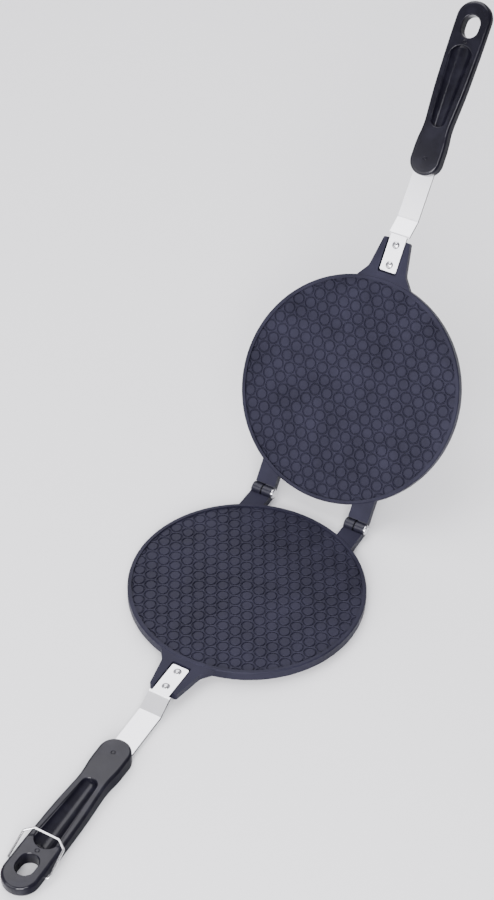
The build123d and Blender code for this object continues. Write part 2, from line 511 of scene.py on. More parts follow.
@dataclass
class Effects:
    """Shader node groups that several finishes share, each built once."""

    patch_scale: float = 38.0
    patch_fade: Pair = (0.3, 0.7)
    grain_level: float = 0.66
    line_stretch: Triple = (1.0, 0.018, 0.25)
    line_share: float = 0.7
    cloud_scale: float = 60.0
    cloud_share: float = 0.3
    side_fade: float = 0.3
    knuckle_fade: Pair = (5.8, 5.2)
    seam_fade: Pair = (0.9, 0.4)
    dust_scale: float = 900.0
    dust_fade: Pair = (0.12, 0.0)
    smear_fade: Pair = (0.45, 0.75)

    def __post_init__(self) -> None:
        """Build each group once."""
        self.grain = self.build_grain()
        self.brushing = self.build_brushing()
        self.handling = self.build_handling()
        self.sides = self.build_sides()
        self.barrels = self.build_barrels()

    def build_grain(self) -> bpy.types.NodeTree:
        """Fine speckle: a height for the bump and a mask for colour and roughness.

        Returns:
            The node group.
        """
        g = new_group(
            "fine_grain",
            {"Vector": (VECTOR, None), "Scale": (FLOAT, 1500.0), "Contrast": (FLOAT, 0.5)},
            {"Height": FLOAT, "Mask": FLOAT},
        )
        given, sink = g.tree.nodes[0].outputs, g.tree.nodes[1]
        fine = g.noise(Vector=given["Vector"], Scale=given["Scale"], Detail=4.0, Roughness=0.65)
        broad = g.noise(Vector=given["Vector"], Scale=self.patch_scale, Detail=3.0, Roughness=0.55)
        patches = g.stretch(broad, *self.patch_fade)
        both = g.math("MULTIPLY_ADD", fine, given["Contrast"], patches)
        g.fill(sink, Height=fine, Mask=g.math("MULTIPLY", both, self.grain_level))
        return g.tree

    def build_brushing(self) -> bpy.types.NodeTree:
        """Fine lines along one direction, as rolled or brushed steel has.

        Returns:
            The node group.
        """
        g = new_group(
            "brushed_lines",
            {"Vector": (VECTOR, None), "Density": (FLOAT, 900.0)},
            {"Height": FLOAT, "Mask": FLOAT},
        )
        given, sink = g.tree.nodes[0].outputs, g.tree.nodes[1]
        drawn = g.add("ShaderNodeMapping", Vector=given["Vector"], Scale=self.line_stretch)
        lines = g.noise(
            Vector=drawn.outputs["Vector"], Scale=given["Density"], Detail=6.0, Roughness=0.7
        )
        cloud = g.noise(Vector=given["Vector"], Scale=self.cloud_scale, Detail=2.0)
        haze = g.math("MULTIPLY", cloud, self.cloud_share)
        g.fill(sink, Height=lines, Mask=g.math("MULTIPLY_ADD", lines, self.line_share, haze))
        return g.tree

    def build_handling(self) -> bpy.types.NodeTree:
        """Faint smears and dust on what is handled: a mask from 0 to 1.

        Returns:
            The node group.
        """
        g = new_group(
            "handling_marks",
            {"Vector": (VECTOR, None), "Scale": (FLOAT, 55.0), "Amount": (FLOAT, 0.5)},
            {"Mask": FLOAT},
        )
        given, sink = g.tree.nodes[0].outputs, g.tree.nodes[1]
        smear = g.noise(
            Vector=given["Vector"], Scale=given["Scale"], Detail=5.0, Roughness=0.6, Distortion=0.8
        )
        dust = g.add("ShaderNodeTexVoronoi", Vector=given["Vector"], Scale=self.dust_scale)
        smears = g.stretch(smear, *self.smear_fade)
        specks = g.stretch(dust.outputs["Distance"], *self.dust_fade)
        both = g.math("MAXIMUM", smears, specks)
        g.fill(sink, Mask=g.math("MULTIPLY", both, given["Amount"]))
        return g.tree

    def build_sides(self) -> bpy.types.NodeTree:
        """Mask of the sides that face along X, the axis that the halves turn about.

        Returns:
            The node group.
        """
        g = new_group(
            "facing_sides", {"Normal": (VECTOR, None), "Start": (FLOAT, 0.4)}, {"Mask": FLOAT}
        )
        given, sink = g.tree.nodes[0].outputs, g.tree.nodes[1]
        parts = g.add("ShaderNodeSeparateXYZ", Vector=given["Normal"])
        size = g.math("ABSOLUTE", parts.outputs["X"])
        full = g.math("ADD", given["Start"], self.side_fade)
        g.fill(sink, Mask=g.stretch(size, given["Start"], full))
        return g.tree

    def build_barrels(self) -> bpy.types.NodeTree:
        """Masks round the hinge axis: the knuckle barrels, and painted shade in the gap between the
        knuckles.

        Returns:
            The node group.
        """
        g = new_group("hinge_barrels", {"Vector": (VECTOR, None)}, {"Barrel": FLOAT, "Line": FLOAT})
        given, sink = g.tree.nodes[0].outputs, g.tree.nodes[1]
        parts = g.add("ShaderNodeSeparateXYZ", Vector=given["Vector"]).outputs
        behind = g.math("SUBTRACT", parts["Y"], HINGE.axis_y * MM)
        above = g.math("SUBTRACT", parts["Z"], HINGE.axis_z * MM)
        flat = g.add("ShaderNodeCombineXYZ", Y=behind, Z=above)
        reach = g.add("ShaderNodeVectorMath", operation="LENGTH", Vector=flat.outputs["Vector"])
        barrel = g.stretch(reach.outputs["Value"], *(size * MM for size in self.knuckle_fade))
        side = g.math("ABSOLUTE", parts["X"])
        across = g.math("ABSOLUTE", g.math("SUBTRACT", side, HINGE.spacing / 2 * MM))
        seam = g.stretch(across, *(size * MM for size in self.seam_fade))
        # The seam mask is painted shade for the gap between the knuckles of the two halves
        g.fill(sink, Barrel=barrel, Line=g.math("MULTIPLY", barrel, seam))
        return g.tree


def start_material(name: str) -> tuple[bpy.types.Material, Graph, bpy.types.Node]:
    """Start a material with its Principled BSDF.

    Args:
        name: material name.

    Returns:
        The material, its graph and the shader node.
    """
    material = bpy.data.materials.new(name)
    material.use_nodes = True
    graph = Graph(material.node_tree)
    return material, graph, material.node_tree.nodes["Principled BSDF"]


def effect(graph: Graph, tree: bpy.types.NodeTree, **values: Any) -> bpy.types.bpy_prop_collection:
    """Place a shared effect in a material, on Object coordinates.

    Args:
        graph: material's graph.
        tree: the effect's node group.
        values: values of its inputs.

    Returns:
        The effect's outputs.
    """
    where = graph.add("ShaderNodeTexCoord").outputs["Object"]
    return graph.add("ShaderNodeGroup", node_tree=tree, Vector=where, **values).outputs


def facing_sides(graph: Graph, effects: Effects, start: float) -> bpy.types.NodeSocket:
    """Place the mask of what faces sideways, along X, in a material.

    Args:
        graph: material's graph.
        effects: shared node groups.
        start: sine of the turn toward X at which the mask begins.

    Returns:
        The mask.
    """
    normal = graph.add("ShaderNodeTexCoord").outputs["Normal"]
    node = graph.add("ShaderNodeGroup", node_tree=effects.sides, Normal=normal, Start=start)
    return node.outputs["Mask"]


# Finishes
@dataclass(frozen=True)
class CoatedCasting:
    """Dark satin non-stick coating on the cast plates, darker and glossier on the hinge knuckles,
    with painted shade in the gap where the knuckles meet.

    Relief is the strength and depth of its bump.
    """

    dark: Triple = (0.0045, 0.0042, 0.0098)
    light: Triple = (0.0178, 0.0172, 0.03)
    knuckle_and_seam_dark: Triple = (0.0015, 0.0015, 0.003)
    knuckle_darkening: float = 0.45
    polish: float = 0.35
    polish_roughness: float = 0.25
    roughness: Pair = (0.4, 0.56)
    specular: float = 0.14
    specular_tint: Triple = (0.86, 0.86, 1.0)
    grain: float = 1500.0
    contrast: float = 0.8
    relief: Pair = (0.3, 0.08)

    def material(self, effects: Effects) -> bpy.types.Material:
        """Build the finish.

        Args:
            effects: shared node groups.

        Returns:
            The material.
        """
        material, g, shader = start_material("nonstick_coating")
        speck = effect(g, effects.grain, Scale=self.grain, Contrast=self.contrast)
        hinge = effect(g, effects.barrels)
        coating = g.tint(speck["Mask"], opaque(self.dark), opaque(self.light))
        # Painted shade: the seam mask turns the coating near black in the gap where the knuckles
        # meet; the barrel mask makes the knuckles a little darker
        knuckle_darkening_and_seam_shade = g.math("MULTIPLY_ADD", hinge["Barrel"], self.knuckle_darkening, hinge["Line"])
        knuckle = g.math("SUBTRACT", hinge["Barrel"], hinge["Line"])
        g.fill(
            shader,
            Base__Color=g.tint(knuckle_darkening_and_seam_shade, coating, opaque(self.knuckle_and_seam_dark)),
            Roughness=g.stretch(speck["Mask"], 0.0, 1.0, *self.roughness),
            Specular__IOR__Level=self.specular,
            Specular__Tint=opaque(self.specular_tint),
            Coat__Weight=g.stretch(knuckle, high=self.polish),
            Coat__Roughness=self.polish_roughness,
            Normal=g.bump(speck["Height"], *self.relief),
        )
        return material


@dataclass(frozen=True)
class RolledSteel:
    """Bright steel with fine lines along its length and, on a strap, painted shade: its sides that
    face along X are near black and dull.

    Relief is the strength and depth of its bump.
    """

    name: str
    dark: Triple
    light: Triple
    roughness: Pair
    lines: float
    side_shade: Triple | None = None
    side_shade_start: float = 0.12
    side_shade_metal: float = 0.2
    side_shade_specular: float = 0.05
    relief: Pair = (0.12, 0.03)

    def material(self, effects: Effects) -> bpy.types.Material:
        """Build the finish.

        Args:
            effects: shared node groups.

        Returns:
            The material.
        """
        material, g, shader = start_material(self.name)
        brushed = effect(g, effects.brushing, Density=self.lines)
        colour = g.tint(brushed["Mask"], opaque(self.dark), opaque(self.light))
        metal = 1.0
        # Painted shade: the sides that face along X turn near black, less metallic and less shiny
        if self.side_shade:
            side = facing_sides(g, effects, self.side_shade_start)
            colour = g.tint(side, colour, opaque(self.side_shade))
            metal = g.stretch(side, low=1.0, high=self.side_shade_metal)
            g.fill(shader, Specular__IOR__Level=self.side_shade_specular)
        g.fill(
            shader,
            Base__Color=colour,
            Metallic=metal,
            Roughness=g.stretch(brushed["Mask"], 0.0, 1.0, *self.roughness),
            Normal=g.bump(brushed["Height"], *self.relief),
        )
        return material


@dataclass(frozen=True)
class MouldedBlack:
    """Black moulding, glossy on its faces, with faint smears and dust.

    Relief is the strength and depth of its bump.
    """

    deep: Triple = (0.0045, 0.0042, 0.0075)
    worn: Triple = (0.013, 0.0125, 0.02)
    roughness: Pair = (0.42, 0.56)
    specular: float = 0.03
    polish: float = 0.55
    polish_roughness: float = 0.13
    polish_spread: Pair = (0.65, 1.15)
    dull_start: float = 0.5
    smears: float = 60.0
    smear_amount: float = 0.7
    grain: float = 900.0
    contrast: float = 0.8
    relief: Pair = (0.12, 0.08)

    def material(self, effects: Effects) -> bpy.types.Material:
        """Build the finish.

        Args:
            effects: shared node groups.

        Returns:
            The material.
        """
        material, g, shader = start_material("moulded_black")
        marks = effect(g, effects.handling, Scale=self.smears, Amount=self.smear_amount)["Mask"]
        skin = effect(g, effects.grain, Scale=self.grain, Contrast=self.contrast)
        side = facing_sides(g, effects, self.dull_start)
        polish = g.stretch(side, low=self.polish, high=0.0)
        uneven = g.stretch(skin["Mask"], 0.0, 1.0, *self.polish_spread)
        g.fill(
            shader,
            Base__Color=g.tint(marks, opaque(self.deep), opaque(self.worn)),
            Roughness=g.stretch(marks, 0.0, 1.0, *self.roughness),
            Specular__IOR__Level=self.specular,
            Coat__Weight=g.math("MULTIPLY", polish, uneven),
            Coat__Roughness=self.polish_roughness,
            Normal=g.bump(skin["Height"], *self.relief),
        )
        return material


class Finish(Enum):
    """The finishes of the pan, by the record's material slots."""

    CASTING = "coated_casting"
    STRAP = "strap_steel"
    RIVET = "rivet_steel"
    HANDLE = "moulded_handle"
    WIRE = "bail_wire"


class Finishes:
    """Holds one material for each finish."""

    def __init__(self) -> None:
        """Build the shared effects and every material."""
        effects = Effects()
        # The strap's sides get painted shade, near black
        strap = RolledSteel(
            "rolled_steel", (0.74, 0.74, 0.76), (0.9, 0.9, 0.91), (0.22, 0.38), 1100.0,
            side_shade=(0.03, 0.03, 0.035),
        )
        rivet = RolledSteel(
            "polished_rivet", (0.5, 0.5, 0.52), (0.68, 0.68, 0.69), (0.16, 0.26), 500.0
        )
        wire = RolledSteel(
            "plated_wire", (0.66, 0.66, 0.66), (0.8, 0.8, 0.8), (0.12, 0.22), 300.0
        )
        self.materials = {
            Finish.CASTING: CoatedCasting().material(effects),
            Finish.STRAP: strap.material(effects),
            Finish.RIVET: rivet.material(effects),
            Finish.HANDLE: MouldedBlack().material(effects),
            Finish.WIRE: wire.material(effects),
        }

    def dress(self, obj: bpy.types.Object, finish: Finish, body: str) -> bpy.types.Object:
        """Give a piece its only material and the body it rides on.

        Args:
            obj: finished piece.
            finish: its finish.
            body: body of the frame.

        Returns:
            The piece.
        """
        obj.data.materials.clear()
        obj.data.materials.append(self.materials[finish])
        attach(obj, body)
        return obj


# Halves, castings and straps
@dataclass(frozen=True)
class Half:
    """One half of the pan: its name, and whether it is the one that is turned over."""

    name: str
    turned: bool

    def matrix(self) -> Matrix:
        """Placement of the half's own frame, in which z is 0 on the parting plane.

        Returns:
            The placement, in metres.
        """
        lift = Matrix.Translation((0, 0, HINGE.axis_z * MM))
        if not self.turned:
            return lift
        axis = Vector((0, HINGE.axis_y * MM, 0))
        swing = Matrix.Rotation(radians(-HINGE.opening), 4, "X")
        turn = Matrix.Rotation(pi, 4, "Y")
        return lift @ Matrix.Translation(axis) @ swing @ Matrix.Translation(-axis) @ turn


@dataclass(frozen=True)
class RoundedCopy:
    """A merged copy of a solid with rounded edges, which stands in for it.

    Points nearer than merge become one, faces that turn by less than flat degrees become one,
    and edges that turn by more than sharp degrees are rounded.
    """

    edge: float
    merge: float = 0.002
    flat: float = 0.6
    sharp: float = 32.0
    segments: int = 2

    def build(self, frame: dict[str, Any], node: str, word: str) -> bpy.types.Object:
        """Copy the solid, merge it and round its edges.

        Args:
            node: the solid's node.
            word: last word of the new piece's name.

        Returns:
            The new piece.
        """
        name = f"{node}_{word}"
        obj = bpy.data.objects.new(name, frame["nodes"][node].data.copy())
        obj.data.name = name
        bpy.context.collection.objects.link(obj)
        with editing(obj):
            bpy.ops.mesh.select_all(action="SELECT")
            bpy.ops.mesh.customdata_custom_splitnormals_clear()
            bpy.ops.mesh.remove_doubles(threshold=self.merge * MM)
            bpy.ops.mesh.dissolve_limited(angle_limit=radians(self.flat))
        apply_modifier(
            obj, "BEVEL", width=self.edge * MM, segments=self.segments, limit_method="ANGLE",
            angle_limit=radians(self.sharp), use_clamp_overlap=True,
        )
        smooth(obj)
        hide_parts(node)
        return obj


@dataclass
class Casting:
    """A cast plate with its ears and fork, its edges rounded as a casting's are."""

    half: Half
    edge: float = 0.7

    def build(self, frame: dict[str, Any], finishes: Finishes) -> bpy.types.Object:
        """Round a copy of the plate's solid.

        Args:
            finishes: materials.

        Returns:
            The finished piece.
        """
        obj = RoundedCopy(self.edge).build(frame, f"{self.half.name}_plate", "casting")
        return finishes.dress(obj, Finish.CASTING, self.half.name)


@dataclass
class Strap:
    """Bent steel strap with slightly broken edges."""

    half: Half
    edge: float = 0.75

    def build(self, frame: dict[str, Any], finishes: Finishes) -> bpy.types.Object:
        """Round a copy of the strap's solid.

        Args:
            finishes: materials.

        Returns:
            The finished piece.
        """
        obj = RoundedCopy(self.edge).build(frame, f"{self.half.name}_strap", "steel")
        return finishes.dress(obj, Finish.STRAP, self.half.name)


@dataclass
class Honeycomb:
    """Pads within six-sided grooves: the web between the grooves, and the pads.

    Heights are from the parting plane. Only cells that reach into the field by more than least
    are made, and the web runs into the plate's rim by overlap.
    """

    field_radius: float = 91.7
    rim_sides: int = 122
    pitch: float = 11.0
    pad_width: float = 8.5
    hole_width: float = 9.6
    least: float = 0.8
    corner: float = 1.9
    crown_width: float = 0.48
    crown_height: float = 0.5
    field: float = -2.35
    top: float = -1.5
    sink: float = 0.25
    overlap: float = 0.03
    crease: float = 32.0

    def centres(self) -> list[Pair]:
        """Centres of the cells that reach into the field.

        Returns:
            The centres, row by row.
        """
        row_pitch = self.pitch * sin(radians(60))
        rows = int(self.field_radius / row_pitch) + 1
        columns = int(self.field_radius / self.pitch) + 2
        found = []
        for row in range(-rows, rows + 1):
            shift = self.pitch / 2 if row % 2 else 0.0
            for column in range(-columns, columns + 1):
                x, y = column * self.pitch + shift, row * row_pitch
                if hypot(x, y) < self.field_radius + self.hole_width / 2 - self.least:
                    found.append((x, y))
        return found

    def prism(self, width: float, low: float, high: float) -> bpy.types.Object:
        """Model a six-sided prism with rounded corners, at the plate's centre.

        Args:
            width: width across the flats.
            low: lower end.
            high: upper end.

        Returns:
            The prism.
        """
        obj = cylinder("prism", width / sqrt(3), low, high, sides=6)
        with editing(obj):
            pick(obj, "EDGE", lambda edge: abs((edge.verts[0].co - edge.verts[1].co).z) > NEAR)
            bpy.ops.mesh.bevel(offset=self.corner * MM, segments=2, profile=0.5)
        return obj

    def taper(self, obj: bpy.types.Object, width: float, change: float) -> None:
        """Raise the top of a prism by the crown's height while its width changes.

        Args:
            obj: the prism.
            width: its width across the flats.
            change: how far each flat moves outwards.
        """
        scale = 1 + 2 * change / width
        with editing(obj):
            pick(obj, "FACE", looks_up)
            extrude((0, 0, self.crown_height * MM))
            bpy.ops.transform.resize(
                value=(scale, scale, 1), center_override=(0, 0, self.top * MM)
            )

    def pad(self) -> bpy.types.Object:
        """Model one pad with a sloping upper edge.

        Returns:
            The pad, at the plate's centre.
        """
        obj = self.prism(self.pad_width, self.field - self.sink, self.top - self.crown_height)
        self.taper(obj, self.pad_width, -self.crown_width)
        return obj

    def cell(self) -> bpy.types.Object:
        """Model the cutter of one cell, which flares where it leaves the web.

        Returns:
            The cutter, at the plate's centre.
        """
        level = self.top - self.crown_height
        obj = self.prism(self.hole_width, self.field - 2 * self.sink, level)
        self.taper(obj, self.hole_width, self.crown_width)
        with editing(obj):
            pick(obj, "FACE", looks_up)
            extrude((0, 0, MM))
        return obj

    def spread(
        self, model: bpy.types.Object, name: str, wanted: Callable[[float], bool]
    ) -> bpy.types.Object:
        """Copy a shape to the cells and join the copies.

        Args:
            model: the shape at the plate's centre, which is used up.
            name: name of the result.
            wanted: says whether a cell at this distance from the centre gets a copy.

        Returns:
            The joined copies.
        """
        copies = [twin(model, name, centre) for centre in self.centres() if wanted(hypot(*centre))]
        bpy.data.objects.remove(model, do_unlink=True)
        return join(copies, name)

    def pads(self) -> bpy.types.Object:
        """Model every pad, with those at the edge of the field trimmed to it.

        Returns:
            The pads of one plate, as one piece.
        """
        inner = self.field_radius - self.pad_width / sqrt(3)
        whole = self.spread(self.pad(), "whole_pads", lambda reach: reach <= inner)
        rim = self.spread(self.pad(), "rim_pads", lambda reach: reach > inner)
        trimmer = cylinder("trimmer", self.field_radius, 2 * self.field, 0.0, sides=self.rim_sides)
        carve(rim, trimmer, "INTERSECT")
        return join([whole, rim], "pads")

    def web(self) -> bpy.types.Object:
        """Model the web that is left between the cells.

        Returns:
            The web of one plate.
        """
        obj = cylinder(
            "web", self.field_radius + self.overlap, self.field - self.sink, self.top,
            sides=self.rim_sides,
        )
        carve(obj, self.spread(self.cell(), "cells", lambda reach: True))
        return obj

    def build(self, halves: tuple[Half, ...], finishes: Finishes) -> list[bpy.types.Object]:
        """Make the pads and the web once and place a copy on each plate.

        Args:
            halves: the plates to cover.
            finishes: materials.

        Returns:
            The finished pieces.
        """
        pieces = []
        for model in (self.pads(), self.web()):
            word = model.name
            with editing(model):
                point_outwards()
            shade(model, radians(self.crease))
            for half in halves:
                copy = twin(model, f"{half.name}_{word}")
                place(copy, half.matrix())
                pieces.append(finishes.dress(copy, Finish.CASTING, half.name))
            bpy.data.objects.remove(model, do_unlink=True)
        return pieces


# Handles
@dataclass(frozen=True)
class Station:
    """Place where the handle's outline bends: half its width there, and the bend's rounding."""

    at: float
    half_width: float
    reach: float
    segments: int


@dataclass(frozen=True)
class ScoopEnd:
    """One end of the scoop's cone: its radius there, and its axis's height over the face."""

    at: float
    radius: float
    rise: float


@dataclass
class Handle:
    """Moulded handle: waisted outline, rounded edges, scoop, hanging hole and round marks.

    Depths are below the parting plane. Each lip is the slope from one pair to the next, where a
    pair says how far outside the opening and how high over the face. Cutters stick out of what
    they cut by overcut.
    """

    half: Half
    with_bail: bool
    stations: tuple[Station, ...] = (
        Station(183.5, 12.8, 12.4, 16),
        Station(210.0, 12.8, 4.5, 6),
        Station(223.0, 11.1, 6.0, 8),
        Station(256.0, 13.5, 9.0, 4),
        Station(298.0, 14.55, 9.0, 4),
        Station(328.6, 14.55, 14.4, 20),
    )
    straight: float = 1.0
    back_depth: float = 19.0
    face_depth: float = 2.34
    face_slope: float = 2.28
    face_edge: float = 2.4
    back_edge: float = 4.6
    scoop_front: ScoopEnd = ScoopEnd(224.0, 6.25, 1.75)
    scoop_back: ScoopEnd = ScoopEnd(291.5, 10.2, 3.7)
    scoop_spare: float = 1.5
    hole_at: float = 307.5
    hole_size: Pair = (14.5, 18.7)
    lips: tuple[tuple[Pair, Pair], ...] = (((0.3, -0.29), (1.3, 0.29)), ((0.0, -0.81), (0.6, 0.23)))
    marks: Pair = (197.3, 294.9)
    mark_radius: float = 1.5
    mark_groove: float = 0.42
    mark_sink: float = 0.05
    bore_radius: float = 1.0
    overcut: float = 5.0
    sliver: float = 0.01
    merge: float = 0.008

    @property
    def front(self) -> float:
        """Distance of the handle's front end."""
        return self.stations[0].at

    def face_level(self, y: float) -> float:
        """Depth of the handle's face at a distance."""
        return self.face_depth + (y - self.front) * tan(radians(self.face_slope))

    def pick_station(self, obj: bpy.types.Object, station: Station) -> None:
        """Select the corners of the outline at a station."""
        pick(obj, "VERT", lambda vert: abs(vert.co.y + station.at * MM) < NEAR)

    def outline(self) -> bpy.types.Object:
        """Model the outline as a flat plate with rounded corners.

        Returns:
            A flat face at the level of the handle's back.
        """
        first, last = self.stations[0], self.stations[-1]
        deselect()
        bpy.ops.mesh.primitive_plane_add(
            size=1, location=(0, -(first.at + last.at) / 2 * MM, -self.back_depth * MM)
        )
        obj = bpy.context.object
        obj.scale = (2 * last.half_width * MM, (last.at - first.at) * MM, 1)
        bake_place(obj)
        with editing(obj):
            for station in self.stations[1:-1]:
                bpy.ops.mesh.select_all(action="SELECT")
                bpy.ops.mesh.bisect(plane_co=(0, -station.at * MM, 0), plane_no=(0, 1, 0))
            for station in self.stations:
                self.pick_station(obj, station)
                bpy.ops.transform.resize(
                    value=(station.half_width / last.half_width, 1, 1),
                    center_override=(0, -station.at * MM, 0),
                )
            bpy.ops.mesh.select_all(action="SELECT")
            bpy.ops.mesh.dissolve_limited(angle_limit=radians(self.straight))
            for station in self.stations:
                self.pick_station(obj, station)
                bpy.ops.mesh.bevel(
                    offset=station.reach * MM, segments=station.segments, affect="VERTICES",
                    profile=0.5,
                )
        return obj

    def block(self) -> bpy.types.Object:
        """Raise the outline to the sloping face and round its long edges.

        Returns:
            The handle without its openings.
        """
        obj = self.outline()
        slope = radians(self.face_slope)
        with editing(obj):
            bpy.ops.mesh.select_all(action="SELECT")
            extrude((0, 0, (self.back_depth + self.overcut) * MM))
            bpy.ops.mesh.select_all(action="SELECT")
            bpy.ops.mesh.bisect(
                plane_co=(0, -self.front * MM, -self.face_depth * MM),
                plane_no=(0, -sin(slope), cos(slope)), use_fill=True, clear_outer=True,
            )
            point_outwards()
            pick(obj, "EDGE", at_height(-self.back_depth * MM))
            bpy.ops.mesh.bevel(offset=self.back_edge * MM, segments=7, profile=0.5)
            pick(obj, "EDGE", self.on_face)
            bpy.ops.mesh.bevel(offset=self.face_edge * MM, segments=4, profile=0.5)
        return obj

    def on_face(self, edge: bmesh.types.BMEdge) -> bool:
        """Whether an edge lies in the handle's face."""
        gaps = [vert.co.z + self.face_level(-vert.co.y / MM) * MM for vert in edge.verts]
        return all(abs(gap) < NEAR for gap in gaps)

    def scoop_ends(self) -> Ends:
        """The slot within which the scoop lies, as wide as its cone is at the face.

        Returns:
            Distance and radius of its two end circles.
        """
        front, back = self.scoop_front, self.scoop_back
        front_half = sqrt(front.radius**2 - front.rise**2)
        back_half = sqrt(back.radius**2 - back.rise**2)
        return (front.at + front_half, front_half), (back.at - back_half, back_half)

    def hole_ends(self) -> Ends:
        """The slot of the hanging hole.

        Returns:
            Distance and radius of its two end circles.
        """
        wide, long = self.hole_size
        reach = (long - wide) / 2
        return (self.hole_at - reach, wide / 2), (self.hole_at + reach, wide / 2)

    def slot_cutter(self, ends: Ends) -> bpy.types.Object:
        """Model an upright slot that goes through the whole handle.

        Args:
            ends: its two end circles.

        Returns:
            The cutter.
        """
        low = -self.back_depth - self.overcut
        rounds = [
            cylinder("slot_end", radius, low, self.overcut, (0, -y), ROUND) for y, radius in ends
        ]
        obj = join(rounds, "slot_cutter")
        hull(obj)
        return obj

    def lip_cutter(self, ends: Ends, inner: Pair, outer: Pair) -> bpy.types.Object:
        """Model a flared slot that turns over the edge of an opening in the face.

        Args:
            ends: the two end circles of the opening.
            inner: how far outside the opening and how high over the face it starts.
            outer: the same where it ends.

        Returns:
            The cutter.
        """
        slope = radians(self.face_slope)
        discs = [
            cylinder(
                "lip", radius + reach, height, height + self.sliver,
                (0, -(y - self.front) / cos(slope)), ROUND,
            )
            for y, radius in ends for reach, height in (inner, outer)
        ]
        obj = join(discs, "lip_cutter")
        hull(obj)
        at_front = Matrix.Translation((0, -self.front * MM, -self.face_depth * MM))
        place(obj, at_front @ Matrix.Rotation(slope, 4, "X"))
        return obj

    def scoop_cutter(self) -> bpy.types.Object:
        """Model the finger scoop: a lying cone within round, steep ends.

        Returns:
            The cutter.
        """
        front, back = self.scoop_front, self.scoop_back
        low, high = front.rise - self.face_level(front.at), back.rise - self.face_level(back.at)
        run = back.at - front.at
        spare = self.scoop_spare / run
        flare = (back.radius - front.radius) * spare
        deselect()
        bpy.ops.mesh.primitive_cone_add(
            vertices=96, radius1=(front.radius - flare) * MM, radius2=(back.radius + flare) * MM,
            depth=hypot(run, high - low) * (1 + 2 * spare) * MM,
            location=(0, -(front.at + back.at) / 2 * MM, (low + high) / 2 * MM),
            rotation=(pi / 2 - atan2(high - low, run), 0, 0),
        )
        cone = bpy.context.object
        bake_place(cone)
        carve(cone, self.slot_cutter(self.scoop_ends()), "INTERSECT")
        return cone

    def mark_cutter(self, y: float) -> bpy.types.Object:
        """Model a ring that lies in the face and cuts a fine round groove.

        Args:
            y: distance of the mark.

        Returns:
            The cutter.
        """
        deselect()
        bpy.ops.mesh.primitive_torus_add(
            major_segments=32, minor_segments=12, major_radius=self.mark_radius * MM,
            minor_radius=self.mark_groove * MM,
            location=(0, -y * MM, -(self.face_level(y) + self.mark_sink) * MM),
            rotation=(radians(self.face_slope), 0, 0),
        )
        ring = bpy.context.object
        bake_place(ring)
        return ring

    def bore_cutter(self) -> bpy.types.Object:
        """Model the rod that bores the holes of the bail, from side to side.

        Returns:
            The cutter.
        """
        y, depth = BAIL_PIVOT
        reach = self.stations[-1].half_width + self.overcut
        rod = cylinder("bore", self.bore_radius, -reach, reach, sides=24)
        place(rod, Matrix.Translation((0, -y * MM, -depth * MM)) @ Matrix.Rotation(pi / 2, 4, "Y"))
        return rod

    def cut(self, obj: bpy.types.Object, cutter: bpy.types.Object) -> None:
        """Cut with a cutter, and merge points that nearly touch so that the next cut is clean.

        Args:
            obj: the handle.
            cutter: what is cut away, which is used up.
        """
        carve(obj, cutter)
        with editing(obj):
            bpy.ops.mesh.select_all(action="SELECT")
            bpy.ops.mesh.remove_doubles(threshold=self.merge * MM)

    def build(self, finishes: Finishes) -> bpy.types.Object:
        """Cut the openings, turn over their edges and place the handle.

        Args:
            finishes: materials.

        Returns:
            The finished piece.
        """
        obj = self.block()
        obj.name = f"{self.half.name}_grip"
        self.cut(obj, self.scoop_cutter())
        self.cut(obj, self.slot_cutter(self.hole_ends()))
        for ends in (self.scoop_ends(), self.hole_ends()):
            for inner, outer in self.lips:
                self.cut(obj, self.lip_cutter(ends, inner, outer))
        if self.with_bail:
            self.cut(obj, self.bore_cutter())
        for y in self.marks:
            self.cut(obj, self.mark_cutter(y))
        smooth(obj)
        place(obj, self.half.matrix())
        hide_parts(f"{self.half.name}_handle")
        return finishes.dress(obj, Finish.HANDLE, self.half.name)


# Rivets, hinge pins and bail
@dataclass
class Rivets:
    """Two domed rivets that hold a strap in its fork.

    Heights are from the parting plane. The shank runs into the head by overlap, and its end
    stands out of the casting by proud.
    """

    half: Half
    places: Pair = (107.0, 123.9)
    head_radius: float = 3.2
    head_height: float = 1.4
    shank_radius: float = 2.0
    seat: float = -1.7
    bottom: float = -6.3
    proud: float = 0.02
    overlap: float = 0.2

    def one(self) -> bpy.types.Object:
        """Model a rivet on the Z axis.

        Returns:
            The rivet.
        """
        ball = (self.head_radius**2 + self.head_height**2) / (2 * self.head_height)
        deselect()
        bpy.ops.mesh.primitive_uv_sphere_add(
            segments=40, ring_count=32, radius=ball * MM,
            location=(0, 0, (self.seat + self.head_height - ball) * MM),
        )
        head = bpy.context.object
        bake_place(head)
        with editing(head):
            bpy.ops.mesh.select_all(action="SELECT")
            bpy.ops.mesh.bisect(
                plane_co=(0, 0, self.seat * MM), plane_no=(0, 0, 1), use_fill=True,
                clear_inner=True,
            )
        low, high = self.bottom - self.proud, self.seat + self.overlap
        shank = cylinder("rivet_shank", self.shank_radius, low, high, sides=32)
        return join([head, shank], "rivet")

    def build(self, finishes: Finishes) -> bpy.types.Object:
        """Copy the rivet to both places and place the pair.

        Args:
            finishes: materials.

        Returns:
            The finished pair.
        """
        model = self.one()
        pair = [twin(model, "rivet_copy", (0.0, -y)) for y in self.places]
        bpy.data.objects.remove(model, do_unlink=True)
        obj = join(pair, f"{self.half.name}_rivet_pair")
        shade(obj)
        place(obj, self.half.matrix())
        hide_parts(f"{self.half.name}_strap_rivets")
        return finishes.dress(obj, Finish.RIVET, self.half.name)


